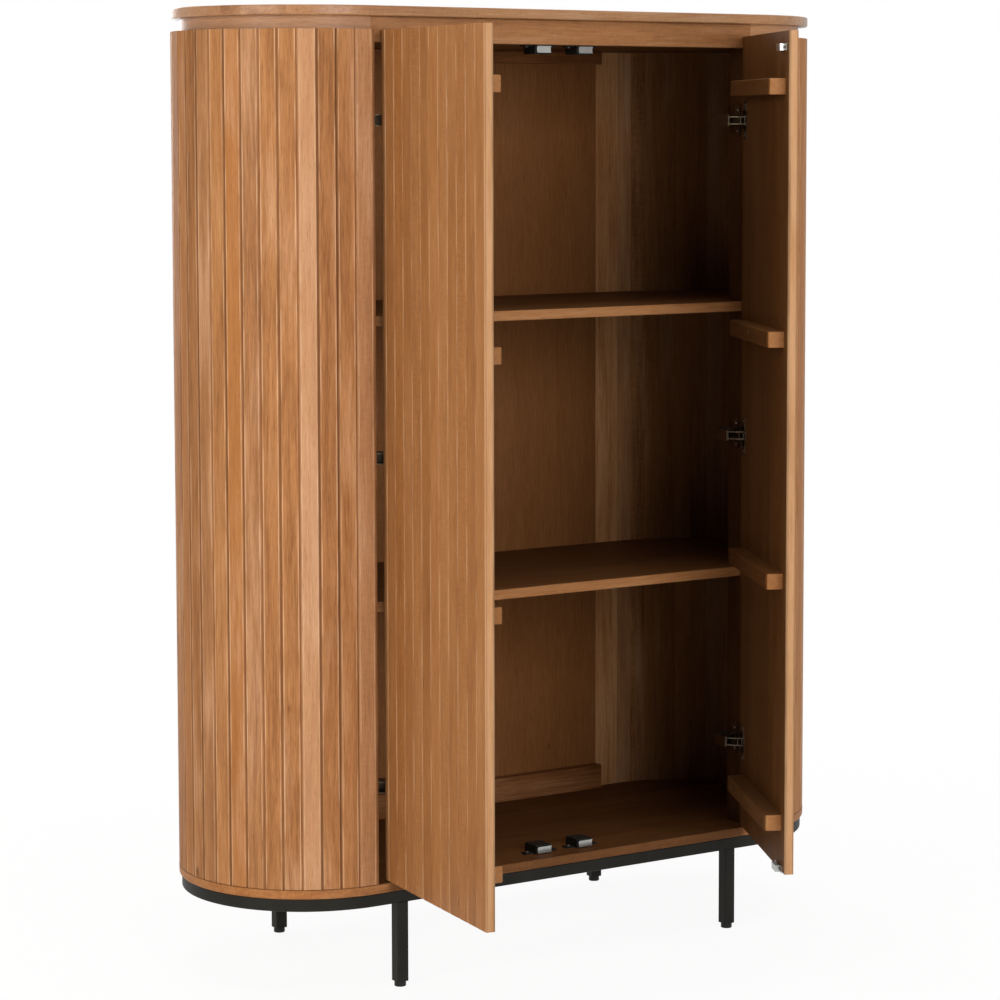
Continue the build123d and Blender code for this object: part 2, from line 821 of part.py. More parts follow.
def hinge_plate(side, height):
    """Mounting plate on the post, with a raised bar that the arm straddles."""
    bar_middle = sum(plate_bar_inward) / 2
    bar_length = plate_bar_inward[1] - plate_bar_inward[0]
    with BuildPart() as plate:
        with BuildSketch(plate_place(side, height, plate_inward, post_along)):
            RectangleRounded(*plate_wing, plate_wing[0] / 3)
            for step in (-1, 1):
                with Locations((0, step * plate_screw_spacing / 2)):
                    Circle(frame_screw[2] + plate_hole_fit, mode=Mode.SUBTRACT)
        extrude(amount=plate_thickness)
        with BuildSketch(plate_place(side, height, bar_middle, post_along)):
            Rectangle(bar_length, 2 * link_spread)
        extrude(amount=plate_thickness + plate_bar)
        with BuildSketch(plate_place(side, height, arm_screw_inward, arm_seat)):
            Circle(arm_screw[2] + screw_fit)
        extrude(amount=-(arm_screw[3] - arm_sheet + screw_fit), mode=Mode.SUBTRACT)
    return plate.part


def hinge_arm(side, height):
    """Cranked channel: two cheeks joined by a web that faces the cabinet's middle."""
    seat_outer = arm_seat + arm_sheet
    low = post_along + plate_thickness + arm_sheet / 2
    outline = [
        (low, arm_rear),
        (low, plate_inward - plate_wing[0] / 2),
        (arm_outer_pin[0] - link_eye_radius - arm_sheet, arm_nose),
        (arm_front, arm_nose),
        (arm_front, arm_shoulder),
        (seat_outer, arm_bend),
        (seat_outer, arm_rear),
    ]
    channel = [
        (-arm_rear, 2 * arm_rear),
        (-arm_rear, 0),
        (arm_front - arm_sheet, 0),
        (arm_front - arm_sheet, arm_shoulder - arm_sheet),
        (arm_seat, arm_bend - arm_sheet),
        (arm_seat, 2 * arm_rear),
    ]
    with BuildPart() as arm:
        with BuildSketch(Plane.XY.offset(height - cheek_outer)) as profile:
            with BuildLine():
                Polyline([to_plan(side, point) for point in outline], close=True)
            make_face()
            fillet(profile.vertices(), arm_sheet)
        extrude(amount=2 * cheek_outer)
        with BuildSketch(Plane.XY.offset(height - cheek_inner)):
            with BuildLine():
                Polyline([to_plan(side, point) for point in channel], close=True)
            make_face()
        extrude(amount=2 * cheek_inner, mode=Mode.SUBTRACT)
        with BuildSketch(Plane.XY.offset(height - cheek_outer)):
            for centre in (to_plan(side, arm_outer_pin), to_plan(side, arm_inner_pin)):
                with Locations((centre.X, centre.Y)):
                    Circle(pin_radius + pin_fit)
        extrude(amount=2 * cheek_outer, mode=Mode.SUBTRACT)
        with BuildSketch(plate_place(side, height, arm_screw_inward, arm_seat)):
            Circle(arm_screw[2] + plate_hole_fit)
        extrude(amount=arm_sheet, mode=Mode.SUBTRACT)
    return arm.part


def hinge_arm_set(side, height):
    """The arm, its two pins and the screw that holds it to the plate."""
    pins = [
        pin(to_plan(side, point), height - cheek_outer, height + cheek_outer)
        for point in (arm_outer_pin, arm_inner_pin)
    ]
    screw_seat = plate_place(side, height, arm_screw_inward, arm_seat + arm_sheet)
    return [hinge_arm(side, height), pan_screw(screw_seat, arm_screw)] + pins


def every_hinge(side, make):
    """The pieces that make() gives for each of the door's hinges, in one list."""
    return [piece for height in hinge_heights for piece in make(side, height)]


for side in (LEFT, RIGHT):
    save(f"{side_name(side)}_hinge_plates", [hinge_plate(side, height) for height in hinge_heights])
    save(f"{side_name(side)}_hinge_arms", every_hinge(side, hinge_arm_set))
    save(f"{side_name(side)}_outer_links", every_hinge(side, outer_link))
    save(f"{side_name(side)}_inner_links", every_hinge(side, inner_link))
    save(f"{side_name(side)}_hinge_cups", every_hinge(side, hinge_cup_set))

plate_screws = [pan_screw(place, frame_screw) for side in (LEFT, RIGHT) for place in plate_screw_places(side)]
save("hinge_plate_screws", plate_screws)


# Posts beside the opening
def hinge_post(side):
    """Upright that carries the door's hinge plates."""
    x_range = sorted((side * post_inner, side * (post_inner + post_thickness)))
    with BuildPart() as post:
        add(block(x_range, (post_front, post_rear), (floor_level, ceiling_level), edge_ease))
        for place in plate_screw_places(side):
            add(pan_screw(place, frame_screw, screw_fit), mode=Mode.SUBTRACT)
    return post.part


for side in (LEFT, RIGHT):
    save(f"{side_name(side)}_hinge_post", hinge_post(side))


# Shelves
def shelf(level):
    """Board that fills the plan inside the staves, notched round the two posts."""
    radius = stave_inner - shelf_fit
    front = -end_radius + shelf_setback
    between_posts = post_inner - shelf_fit
    beside_posts = post_inner + post_thickness + shelf_fit
    behind_posts = post_rear + shelf_fit
    past_centre = beside_posts - end_centre
    front_reach = (radius**2 - past_centre**2) ** 0.5
    start = degrees(atan2(-front_reach, past_centre))
    with BuildPart() as body:
        with BuildSketch(Plane.XY.offset(level - shelf_thickness)):
            with BuildLine():
                Polyline(
                    (0, front),
                    (between_posts, front),
                    (between_posts, behind_posts),
                    (beside_posts, behind_posts),
                    (beside_posts, -front_reach),
                )
                CenterArc((end_centre, 0), radius, start, 90 - start)
                Line((end_centre, radius), (0, radius))
                mirror(about=Plane.YZ)
            make_face()
        extrude(amount=shelf_thickness)
        chamfer(body.faces().sort_by(Axis.Y)[0].edges().filter_by(Axis.X), edge_ease)
    return body.part


save("lower_shelf", shelf(shelf_levels[0]))
save("upper_shelf", shelf(shelf_levels[1]))


# Steel base: ring, legs and glides
with BuildPart() as base_ring:
    for inset, mode in ((0, Mode.ADD), (tube_wall, Mode.SUBTRACT)):
        with BuildSketch(Plane.XY.offset(ring_bottom + inset)):
            SlotCenterToCenter(straight_length, 2 * (ring_radius - inset))
            SlotCenterToCenter(straight_length, 2 * (ring_inner + inset), mode=Mode.SUBTRACT)
        extrude(amount=ring_tube - 2 * inset, mode=mode)
        if mode == Mode.ADD:
            fillet(base_ring.edges().group_by(Axis.Z)[0], tube_corner)
            fillet(base_ring.edges().group_by(Axis.Z)[-1], tube_corner)
save("base_ring", base_ring.part)


def leg(x, y):
    with BuildPart() as tube:
        with BuildSketch(Plane(origin=(x, y, foot_height))):
            RectangleRounded(ring_tube, ring_tube, tube_corner)
            bore = ring_tube - 2 * tube_wall
            RectangleRounded(bore, bore, tube_corner - tube_wall, mode=Mode.SUBTRACT)
        extrude(amount=leg_length)
    return tube.part


def glide(x, y):
    """Round pad under a square plug that fills the leg's end."""
    plug = ring_tube - 2 * tube_wall - 2 * glide_fit
    with BuildPart() as foot:
        with BuildSketch(Plane(origin=(x, y, 0))):
            Circle(glide_radius)
        extrude(amount=foot_height)
        chamfer(foot.edges().group_by(Axis.Z)[0], glide_edge)
        with BuildSketch(Plane(origin=(x, y, foot_height))):
            RectangleRounded(plug, plug, tube_corner - tube_wall)
        extrude(amount=glide_plug_length)
    return foot.part


leg_places = [(x * leg_spacing / 2, y * ring_centre) for x in (LEFT, RIGHT) for y in (FRONT, REAR)]
save("legs", [leg(x, y) for x, y in leg_places])
save("foot_glides", [glide(x, y) for x, y in leg_places])
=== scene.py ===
import json
import math

import bpy
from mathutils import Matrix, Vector

# Cabinet with coopered half-round ends and two staved doors. All sizes are in metres.

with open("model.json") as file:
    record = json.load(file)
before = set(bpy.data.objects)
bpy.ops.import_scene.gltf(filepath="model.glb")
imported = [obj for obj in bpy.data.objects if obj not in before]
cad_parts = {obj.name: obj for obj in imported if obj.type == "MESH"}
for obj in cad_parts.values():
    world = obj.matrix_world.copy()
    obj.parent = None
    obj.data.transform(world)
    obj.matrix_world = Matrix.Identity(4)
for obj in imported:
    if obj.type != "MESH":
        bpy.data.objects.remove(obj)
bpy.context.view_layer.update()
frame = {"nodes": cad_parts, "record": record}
nodes = frame["nodes"]

# Sizes that the materials share with the solids
END_CENTRE = 0.350
END_RADIUS = 0.200
STAVE_PITCH = math.radians(90 / 11)
FLOOR_TOP = 0.162
SHELF_FRONT = -0.175
HINGE_STAVE = 0.015
DOOR_STAVE = 0.030
DOOR_WIDTH = HINGE_STAVE + 11 * DOOR_STAVE
BATTEN_END = DOOR_WIDTH - 0.025
BATTEN_MIDDLES = (0.238, 0.602, 0.962, 1.334)
PLUG_HOLE = 0.0042
PLUG_HOLE_STEP = 4 * DOOR_STAVE

# Outer corner of each door's hinge edge, and how far the door's plan is turned at rest
LEFT_DOOR = ((-0.32989, -0.18781, 0.0), math.radians(-96.8))
RIGHT_DOOR = ((0.34176, -0.19173, 0.0), math.radians(-116.0))

# Tones of the stained wood from dark to light, its tints, pale patches that are partly tone and partly
# painted sheen, rims that are partly wear and partly painted highlight, and joints
DARK = (0.120, 0.045, 0.016)
BROWN = (0.275, 0.112, 0.038)
TAN = (0.420, 0.188, 0.070)
LIGHT = (0.540, 0.285, 0.125)
ORANGE = (0.430, 0.168, 0.046)
PINK = (0.530, 0.305, 0.180)
PALE_TONE_AND_SHEEN = (0.660, 0.430, 0.290)
WEAR_AND_HIGHLIGHT = (0.700, 0.450, 0.280)
JOINT = (0.125, 0.052, 0.020)

# What pores and knots keep of the wood's colour, and the painted shade on faces within the cabinet
PORE = (0.34, 0.22, 0.15)
KNOT = (0.28, 0.19, 0.13)
INSIDE_SHADE = (0.35, 0.33, 0.31)

# Picks the tone of each stave in the round ends
STAVE_SEED = 123.25

# Light from all round, and the softboxes' size and the place that they face
WHITE = (1.0, 1.0, 1.0)
AMBIENT = 0.045
SOFTBOX = (2.4, 2.4)
MIDDLE = (0.0, 0.0, 0.75)


class Graph:
    """Adds nodes to a tree and links them. A value is a number, a tuple or a socket."""

    def __init__(self, tree):
        self.tree = tree

    def put(self, socket, value):
        if isinstance(value, bpy.types.NodeSocket):
            self.tree.links.new(value, socket)
        elif value is not None:
            socket.default_value = value

    def node(self, kind, settings=None, **inputs):
        made = self.tree.nodes.new("ShaderNode" + kind)
        for name, value in (settings or {}).items():
            setattr(made, name, value)
        for name, value in inputs.items():
            self.put(made.inputs[name.replace("_", " ")], value)
        return made

    def math(self, operation, *values):
        made = self.tree.nodes.new("ShaderNodeMath")
        made.operation = operation
        for socket, value in zip(made.inputs, values):
            self.put(socket, value)
        return made.outputs[0]

    def vector(self, operation, *values):
        made = self.tree.nodes.new("ShaderNodeVectorMath")
        made.operation = operation
        for socket, value in zip(made.inputs, values):
            self.put(socket, value)
        return made.outputs[0]

    def times(self, first, second):
        return self.math("MULTIPLY", first, second)

    def centred(self, value):
        """A figure of 0 to 1, moved to lie round 0."""
        return self.math("SUBTRACT", value, 0.5)

    def length(self, vector):
        return self.node("VectorMath", {"operation": "LENGTH"}, Vector=vector).outputs["Value"]

    def scaled(self, vector, sizes):
        return self.vector("MULTIPLY", vector, sizes)

    def combine(self, x=0.0, y=0.0, z=0.0):
        return self.node("CombineXYZ", X=x, Y=y, Z=z).outputs[0]

    def separate(self, vector):
        return self.node("SeparateXYZ", Vector=vector).outputs

    def noise(self, vector, scale, detail=2.0, roughness=0.5):
        made = self.node("TexNoise", Vector=vector, Scale=scale, Detail=detail, Roughness=roughness)
        return made.outputs[0]

    def split(self, steps):
        """Number of the board at a place counted in boards, and how near its sides are: 0 at a side."""
        index = self.math("FLOOR", steps)
        across = self.centred(self.math("SUBTRACT", steps, index))
        return index, self.math("SUBTRACT", 0.5, self.math("ABSOLUTE", across))

    def seen(self):
        """1 for rays from the camera, off a glossy surface or through a clear one."""
        ray = self.node("LightPath").outputs
        bounced = self.math("MAXIMUM", ray["Is Glossy Ray"], ray["Is Transmission Ray"])
        return self.math("MAXIMUM", ray["Is Camera Ray"], bounced)

    def random(self, value):
        """A number from 0 to 1 for each seed."""
        wave = self.math("SINE", self.times(value, 12.9898))
        return self.math("FRACT", self.times(wave, 43758.5453))

    def remap(self, value, low, high, to_low=0.0, to_high=1.0):
        made = self.node("MapRange", {"interpolation_type": "SMOOTHSTEP"}, Value=value)
        for name, number in (("From Min", low), ("From Max", high), ("To Min", to_low), ("To Max", to_high)):
            made.inputs[name].default_value = number
        return made.outputs[0]

    def mix(self, factor, first, second, blend="MIX"):
        made = self.tree.nodes.new("ShaderNodeMix")
        made.data_type = "RGBA"
        made.blend_type = blend
        self.put(made.inputs[0], factor)
        self.put(made.inputs[6], first)
        self.put(made.inputs[7], second)
        return made.outputs[2]

    def ramp(self, factor, stops):
        made = self.node("ValToRGB", Fac=factor)
        ramp = made.color_ramp
        while len(ramp.elements) < len(stops):
            ramp.elements.new(0.5)
        for element, (place, color) in zip(ramp.elements, stops):
            element.position = place
            element.color = (*color, 1.0)
        return made.outputs[0]

    def show(self, kind, socket):
        """Ends a material or a world with this shader."""
        out = self.tree.nodes.new("ShaderNodeOutput" + kind)
        self.tree.links.new(socket, out.inputs[0])


def blank(owner):
    """The empty graph of a new material or world."""
    owner.use_nodes = True
    owner.node_tree.nodes.clear()
    return Graph(owner.node_tree)


def group(name, inputs, outputs):
    """A node group with float or vector inputs and outputs, and its graph."""
    tree = bpy.data.node_groups.new(name, "ShaderNodeTree")
    for label, kind in inputs:
        tree.interface.new_socket(label, in_out="INPUT", socket_type="NodeSocket" + kind)
    for label, kind in outputs:
        tree.interface.new_socket(label, in_out="OUTPUT", socket_type="NodeSocket" + kind)
    source = tree.nodes.new("NodeGroupInput")
    target = tree.nodes.new("NodeGroupOutput")
    return tree, Graph(tree), source.outputs, target.inputs


def make_wood_figure():
    """Grain that runs along the vector's Z: clouds, bands, streaks, fibres, pores, ripple and knots."""
    tree, g, given, out = group(
        "wood_figure",
        [("Vector", "Vector"), ("Seed", "Float")],
        [(name, "Float") for name in ("Clouds", "Bands", "Streaks", "Fibres", "Pores", "Ripple", "Knots")],
    )
    point, seed = given[0], given[1]
    place = g.vector("ADD", point, g.combine(g.times(seed, 0.731), g.times(seed, 1.377), seed))
    drift = g.node("TexNoise", Vector=g.scaled(place, (7.0, 7.0, 1.6)), Scale=1.0, Detail=2.0)
    bend = g.vector("SUBTRACT", drift.outputs[1], (0.5, 0.5, 0.5))
    bent = g.vector("ADD", place, g.scaled(bend, (0.03, 0.03, 0.0)))
    layers = (
        (place, (16.0, 16.0, 3.2), 3.0, 0.55),
        (bent, (60.0, 60.0, 3.4), 3.0, 0.55),
        (bent, (210.0, 210.0, 8.5), 4.0, 0.65),
        (bent, (640.0, 640.0, 26.0), 3.0, 0.6),
        (place, (1500.0, 1500.0, 60.0), 2.0, 0.5),
        (bent, (90.0, 90.0, 330.0), 3.0, 0.6),
    )
    for socket, (vector, sizes, detail, roughness) in zip(out, layers):
        g.put(socket, g.noise(g.scaled(vector, sizes), 1.0, detail, roughness))
    spread = (13.0, 13.0, 1.7)
    cells = g.node("TexVoronoi", Vector=g.scaled(place, spread), Scale=1.0).outputs
    away = g.vector("DIVIDE", g.vector("SUBTRACT", g.scaled(place, spread), cells["Position"]), spread)
    far = g.length(g.scaled(away, (1.0, 1.0, 0.5)))
    spot = g.remap(far, 0.0015, 0.0065, 1.0, 0.0)
    g.put(out["Knots"], g.times(spot, g.remap(cells["Distance"], 0.0, 1.0, 1.0, 0.6)))
    return tree


wood_figure = make_wood_figure()


def wood(name, place, shade=WHITE, contrast=1.0, bias=0.0, gloss=0.50, shine=0.13, hues=1.0):
    """Stained hardwood. place(g, point) gives the grain vector, a seed for each board and masks.

    shade is the stain's colour, and on the hinge posts and the back panel it also holds painted shade;
    contrast and bias set the figure, and hues says how much the boards differ in colour.
    """
    material = bpy.data.materials.new(name)
    g = blank(material)
    vector, seed, masks = place(g, g.node("TexCoord").outputs["Object"])
    figure = g.tree.nodes.new("ShaderNodeGroup")
    figure.node_tree = wood_figure
    g.put(figure.inputs[0], vector)
    g.put(figure.inputs[1], seed)
    clouds, bands, streaks, fibres, pores, ripple, knots = figure.outputs
    board = g.random(g.math("ADD", seed, 0.37))
    hue = g.random(g.math("ADD", seed, 5.91))
    rippled = g.remap(g.random(g.math("ADD", seed, 9.13)), 0.45, 0.90)

    def stained(color):
        return tuple(channel * part for channel, part in zip(color, shade))

    def tint(factor, color, other, blend="MIX"):
        return g.mix(factor, color, (*other, 1.0), blend)

    parts = ((clouds, 0.60 * contrast), (bands, 0.62 * contrast), (streaks, 0.72 * contrast), (fibres, 0.72))
    tone = g.times(g.centred(board), 0.34 * contrast)
    for part, share in parts:
        tone = g.math("ADD", tone, g.times(g.centred(part), share))
    tone = g.math("ADD", tone, g.times(g.times(g.centred(ripple), 0.50), rippled))
    tone = g.math("ADD", tone, 0.54 + bias)
    stops = [(0.0, DARK), (0.30, BROWN), (0.62, TAN), (1.0, LIGHT)]
    color = g.ramp(tone, [(at, stained(stop)) for at, stop in stops])
    color = tint(g.remap(hue, 0.55, 1.0, 0.0, 0.45 * hues), color, stained(ORANGE))
    color = tint(g.remap(hue, 0.0, 0.45, 0.45 * hues, 0.0), color, stained(PINK))
    # Pale pink patches: partly the wood's own tone, partly painted sheen
    cloudy = g.remap(clouds, 0.50, 0.68, 0.0, 0.24 * hues)
    color = tint(g.times(cloudy, g.remap(streaks, 0.40, 0.62, 0.35, 1.0)), color, stained(PALE_TONE_AND_SHEEN))
    pore = g.remap(pores, 0.58, 0.70, 0.0, 0.42)
    color = tint(pore, color, PORE, "MULTIPLY")
    color = tint(g.times(knots, 0.75), color, KNOT, "MULTIPLY")
    # Painted shade on faces within the cabinet, which are also made less glossy
    if "inside" in masks:
        color = tint(masks["inside"], color, INSIDE_SHADE, "MULTIPLY")
        shine = g.math("SUBTRACT", shine, g.times(masks["inside"], 0.08))
    # Pale rims by the joints and the door's free edge: partly wear, partly painted highlight
    if "wear_and_highlight" in masks:
        color = tint(masks["wear_and_highlight"], color, stained(WEAR_AND_HIGHLIGHT))
    if "groove" in masks:
        color = tint(masks["groove"], color, JOINT)

    height = g.math("ADD", g.times(fibres, 0.6), g.times(streaks, 0.5))
    height = g.math("SUBTRACT", height, g.times(pore, 1.1))
    bump = g.node("Bump", Strength=0.28, Distance=0.0004, Height=height)
    rough = g.math("ADD", gloss, g.times(g.centred(clouds), 0.25))
    bsdf = g.node("BsdfPrincipled", Base_Color=color, Roughness=rough, Normal=bump.outputs[0])
    g.put(bsdf.inputs["Specular IOR Level"], shine)
    g.show("Material", bsdf.outputs[0])
    return material


def door_plan(g, point, corner, turn):
    """A point in a door's own plan: along the door from its hinge edge, into it, and up."""
    moved = g.vector("SUBTRACT", point, corner)
    return g.node("VectorRotate", {"rotation_type": "Z_AXIS"}, Vector=moved, Angle=-turn).outputs[0]


def end_plan(g, point):
    """Side of the cabinet, reach beyond the end's centre, turn round it and radius."""
    x, y = g.separate(point)[:2]
    reach = g.math("SUBTRACT", g.math("ABSOLUTE", x), END_CENTRE)
    turn = g.math("ARCTAN2", y, reach)
    return g.math("SIGN", x), reach, turn, g.length(g.combine(reach, y))


def end_place(g, point):
    """Staves round the half circles: each has its own seed, a joint on each side, a pale rim by it that is
    partly wear and partly painted highlight, and painted shade on its face within the cabinet.
    """
    side, reach, turn, radius = end_plan(g, point)
    steps = g.math("DIVIDE", turn, STAVE_PITCH)
    index, edge = g.split(steps)
    seed = g.math("ADD", g.times(index, 3.17), g.times(side, 11.3))
    seed = g.math("ADD", seed, STAVE_SEED)
    apart = g.times(edge, END_RADIUS * STAVE_PITCH)
    outer = g.remap(radius, END_RADIUS - 0.0045, END_RADIUS - 0.0015)
    broken = g.noise(g.scaled(point, (200.0, 200.0, 14.0)), 1.0, 2.0)
    ragged = g.math("ADD", apart, g.times(g.centred(broken), 0.0012))
    number = g.math("FLOOR", g.math("ADD", steps, 0.5))
    joint = g.random(g.math("ADD", number, g.times(side, 7.7)))
    groove = g.times(g.remap(ragged, 0.0007, 0.0026, 1.0, 0.0), outer)
    groove = g.times(groove, g.remap(joint, 0.1, 0.9, 0.20, 0.68))
    # Pale rim beside each joint: partly wear, partly painted highlight on the chamfers
    rim = g.times(g.remap(apart, 0.0018, 0.0026), g.remap(apart, 0.0030, 0.0046, 1.0, 0.0))
    wear_and_highlight = g.times(g.times(rim, outer), g.remap(broken, 0.38, 0.62, 0.05, 0.55))
    # Painted shade on the staves' faces within the cabinet, weaker where the half circle meets the straight
    # sides
    inside = g.remap(radius, END_RADIUS - 0.0100, END_RADIUS - 0.0040, 1.0, 0.0)
    inside = g.times(inside, g.remap(reach, 0.010, 0.075, 0.35, 1.0))
    return point, seed, {"groove": groove, "wear_and_highlight": wear_and_highlight, "inside": inside}


def door_place(corner, turn, number):
    """Upright staves of one door, with fine joints, pale rims by them that are partly wear and partly
    painted highlight, a paler free edge and painted shade on its back face.
    """
    def place(g, point):
        flat = door_plan(g, point, corner, turn)
        along, inward = g.separate(flat)[:2]
        index, edge = g.split(g.math("DIVIDE", g.math("SUBTRACT", along, HINGE_STAVE), DOOR_STAVE))
        seed = g.math("ADD", g.times(index, 2.71), number)
        apart = g.times(edge, DOOR_STAVE)
        depth = g.math("ABSOLUTE", inward)
        outer = g.remap(depth, 0.0012, 0.0030, 1.0, 0.0)
        broken = g.noise(g.scaled(flat, (150.0, 150.0, 9.0)), 1.0, 2.0)
        groove = g.times(g.remap(apart, 0.0002, 0.0008, 0.45, 0.0), outer)
        # Pale rim beside each joint: partly wear, partly painted highlight
        rim = g.times(g.remap(apart, 0.0012, 0.0028, 0.40, 0.0), outer)
        wear_and_highlight = g.times(rim, g.remap(broken, 0.40, 0.62, 0.05, 1.0))
        # Paler towards the free edge
        free = g.remap(along, DOOR_WIDTH - 0.0050, DOOR_WIDTH - 0.0015, 0.0, 0.45)
        wear_and_highlight = g.math("MAXIMUM", wear_and_highlight, g.times(free, g.remap(broken, 0.30, 0.60, 0.55, 1.0)))
        # Painted shade on the door's back face
        inside = g.remap(depth, 0.0095, 0.0125)
        return flat, seed, {"groove": groove, "wear_and_highlight": wear_and_highlight, "inside": inside}
    return place


def batten_place(corner, turn):
    """Bars across a door, with the grain along them, painted shade on all but their free end, and dark plug
    holes.
    """
    def place(g, point):
        along, inward, z = g.separate(door_plan(g, point, corner, turn))
        seed = g.math("FLOOR", g.times(z, 4.0))
        # Painted shade on all of the batten but its free end
        inside = g.remap(along, BATTEN_END - 0.0012, BATTEN_END - 0.0004, 1.0, 0.0)
        row = g.math("SUBTRACT", g.math("FLOORED_MODULO", along, PLUG_HOLE_STEP), PLUG_HOLE_STEP / 2)
        rise = 1.0
        for middle in BATTEN_MIDDLES:
            rise = g.math("MINIMUM", rise, g.math("ABSOLUTE", g.math("SUBTRACT", z, middle)))
        off = g.length(g.combine(row, rise))
        hole = g.remap(off, PLUG_HOLE - 0.0001, PLUG_HOLE + 0.0004, 0.9, 0.0)
        return g.combine(inward, z, along), seed, {"inside": inside, "groove": hole}
    return place


def board_place(width, seed_at=0.0, painted_shade=None):
    """Boards glued up side by side, with the grain along X."""
    def place(g, point):
        x, y, z = g.separate(point)
        index = g.math("FLOOR", g.math("DIVIDE", y, width))
        seed = g.math("ADD", g.times(index, 4.13), seed_at)
        return g.combine(y, z, x), seed, {"inside": painted_shade(g, x, y, z)} if painted_shade else {}
    return place


def upright_place(width, seed_at, painted_shade=None):
    """Boards side by side with the grain upright."""
    def place(g, point):
        x, y, z = g.separate(point)
        index = g.math("FLOOR", g.math("DIVIDE", x, width))
        seed = g.math("ADD", g.times(index, 2.37), seed_at)
        return point, seed, {"inside": painted_shade(g, x, y, z)} if painted_shade else {}
    return place


def rail_place(seed_at):
    """One board with the grain along X."""
    def place(g, point):
        x, y, z = g.separate(point)
        return g.combine(y, z, x), g.math("ADD", g.math("SIGN", y), seed_at), {}
    return place


def bent_place(seed_at):
    """Curved board round an end: the grain follows the curve."""
    def place(g, point):
        side, reach, turn, radius = end_plan(g, point)
        height = g.separate(point)[2]
        return g.combine(radius, height, g.times(turn, END_RADIUS)), g.math("ADD", side, seed_at), {}
    return place


def floor_shade(g, x, y, z):
    """Painted shade on the cabinet floor's upper face, and less of it on its front edge below the doors."""
    upper = g.remap(z, FLOOR_TOP - 0.0020, FLOOR_TOP - 0.0004)
    below_doors = g.remap(g.math("ABSOLUTE", x), 0.32, 0.34, 0.85, 0.0)
    front = g.times(below_doors, g.remap(y, -0.18, -0.16, 1.0, 0.0))
    return g.math("MAXIMUM", upper, front)


def shelf_shade(g, x, y, z):
    """Painted shade on all of a shelf but its front edge."""
    return g.remap(y, SHELF_FRONT + 0.0008, SHELF_FRONT + 0.0024)


def stile_shade(g, x, y, z):
    """Slight painted shade on the side of a rear stile that faces into the cabinet."""
    return g.remap(y, END_RADIUS - 0.012, END_RADIUS - 0.008, 0.12, 0.0)


def plain(name, color, roughness, metallic, grain, strength, spread=0.25, shine=0.5):
    """Painted steel, moulded plastic or plated steel with a fine surface."""
    material = bpy.data.materials.new(name)
    g = blank(material)
    point = g.node("TexCoord").outputs["Object"]
    fine = g.noise(g.scaled(point, grain), 1.0, 3.0, 0.6)
    broad = g.noise(point, 14.0, 3.0, 0.6)
    dark = tuple(channel * (1 - spread) for channel in color)
    pale = tuple(min(1.0, channel * (1 + spread)) for channel in color)
    shade = g.ramp(broad, [(0.30, dark), (0.70, pale)])
    rough = g.math("ADD", roughness, g.times(g.centred(broad), 0.20))
    bump = g.node("Bump", Strength=strength, Distance=0.0003, Height=fine)
    bsdf = g.node("BsdfPrincipled", Base_Color=shade, Roughness=rough, Normal=bump.outputs[0])
    bsdf.inputs["Metallic"].default_value = metallic
    bsdf.inputs["Specular IOR Level"].default_value = shine
    g.show("Material", bsdf.outputs[0])
    return material


def dress(material, slot, *names):
    """Gives CAD nodes a material. The slot argument is not used."""
    for name in names:
        node = nodes[name]
        node.data.materials.clear()
        node.data.materials.append(material)


DOOR = {"shade": (0.90, 0.87, 0.78), "contrast": 0.50, "bias": -0.03, "hues": 0.30}
BATTEN = {"shade": (0.80, 0.76, 0.68), "contrast": 0.6, "hues": 0.4}
FRIEZE = {"contrast": 0.8, "hues": 0.6, "gloss": 0.40, "shine": 0.25}

dress(wood("stave_wood", end_place, gloss=0.58, shine=0.10, hues=1.15), "staves",
      "left_front_staves", "left_rear_staves", "right_front_staves", "right_rear_staves")
dress(wood("stile_wood", upright_place(0.05, 4.0, stile_shade), contrast=1.3, bias=0.14, hues=0.3),
      "staves", "left_rear_stile", "right_rear_stile")
for side, door, seed_at in (("left", LEFT_DOOR, 40.0), ("right", RIGHT_DOOR, 70.0)):
    dress(wood(side + "_door_wood", door_place(*door, seed_at), **DOOR), "door_wood", side + "_door_staves")
    dress(wood(side + "_batten_wood", batten_place(*door), **BATTEN), "batten_wood", side + "_door_battens")
dress(wood("top_wood", board_place(0.08), (0.80, 0.82, 0.86), gloss=0.32, shine=0.40),
      "top_wood", "top_board")
dress(wood("frieze_wood", rail_place(7.0), (0.92, 0.94, 0.98), **FRIEZE),
      "top_wood", "front_frieze_rail", "rear_frieze_rail")
dress(wood("bent_wood", bent_place(2.0), (1.03, 1.12, 1.28), **FRIEZE),
      "top_wood", "left_frieze_end", "right_frieze_end")
dress(wood("floor_wood", board_place(0.09, 21.0, floor_shade), (0.86, 0.78, 0.68), hues=0.3),
      "inner_wood", "base_board")
dress(wood("shelf_wood", board_place(0.08, 33.0, shelf_shade), (0.84, 0.76, 0.66), hues=0.3),
      "inner_wood", "lower_shelf", "upper_shelf", "sub_top_board")
dress(wood("rail_wood", rail_place(13.0), (0.58, 0.50, 0.42)),
      "inner_wood", "rear_bottom_rail", "rear_top_batten")
# The hinge posts' near-black colour is painted shade
dress(wood("post_wood", upright_place(0.2, 17.0), (0.11, 0.09, 0.075), hues=0.2),
      "inner_wood", "left_hinge_post", "right_hinge_post")
# The back panel's dark colour is partly its own and partly painted shade
dress(wood("back_wood", upright_place(0.6, 5.0), (0.50, 0.43, 0.34), contrast=0.35, hues=0.2),
      "back_wood", "back_panel")

